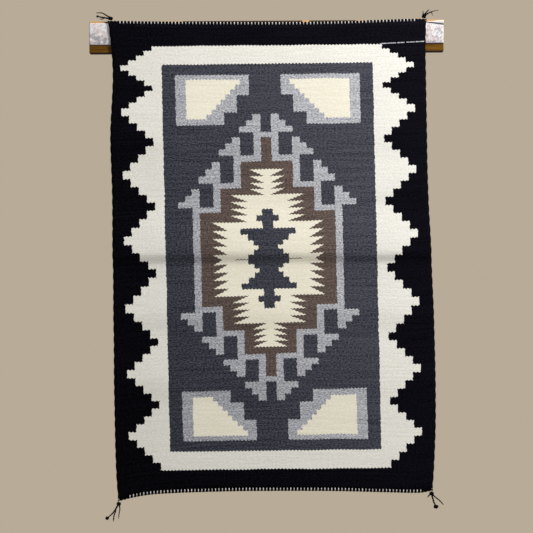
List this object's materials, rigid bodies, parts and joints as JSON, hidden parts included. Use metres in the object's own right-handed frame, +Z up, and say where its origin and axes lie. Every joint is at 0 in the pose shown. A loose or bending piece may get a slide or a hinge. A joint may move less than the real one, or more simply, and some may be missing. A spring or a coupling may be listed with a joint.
{
  "type": "navajo rug on a hanging batten",
  "caption": "Flat hand-woven wool rug with twined end cords, side cords and corner tassels, hung from a wooden batten by hook tape.",
  "frame": {"origin": "middle of the batten's back face, where it lies on the wall", "axes": "+X to the right as the rug is seen, +Y into the wall, +Z up along the rug's length"},
  "size_m": [0.71, 0.0332, 1.0184],
  "materials": {
    "rug_wool": "hand-woven wool in black, ivory, greys and brown, dry and matt",
    "black_yarn": "twisted black wool yarn, matt with a faint fuzz",
    "batten_wood": "plain brown stained softwood, satin",
    "hook_tape": "white nylon hook tape with a little lint"
  },
  "bodies": {
    "root": {"rug_cloth": "rug_wool", "end_cord_top": "black_yarn", "end_cord_bottom": "black_yarn", "selvage_cord_left": "black_yarn", "selvage_cord_right": "black_yarn", "corner_tassel_top_left": "black_yarn", "corner_tassel_top_right": "black_yarn", "corner_tassel_bottom_left": "black_yarn", "corner_tassel_bottom_right": "black_yarn", "hanging_batten": "batten_wood", "hook_tape": "hook_tape"}
  },
  "joints": []
}
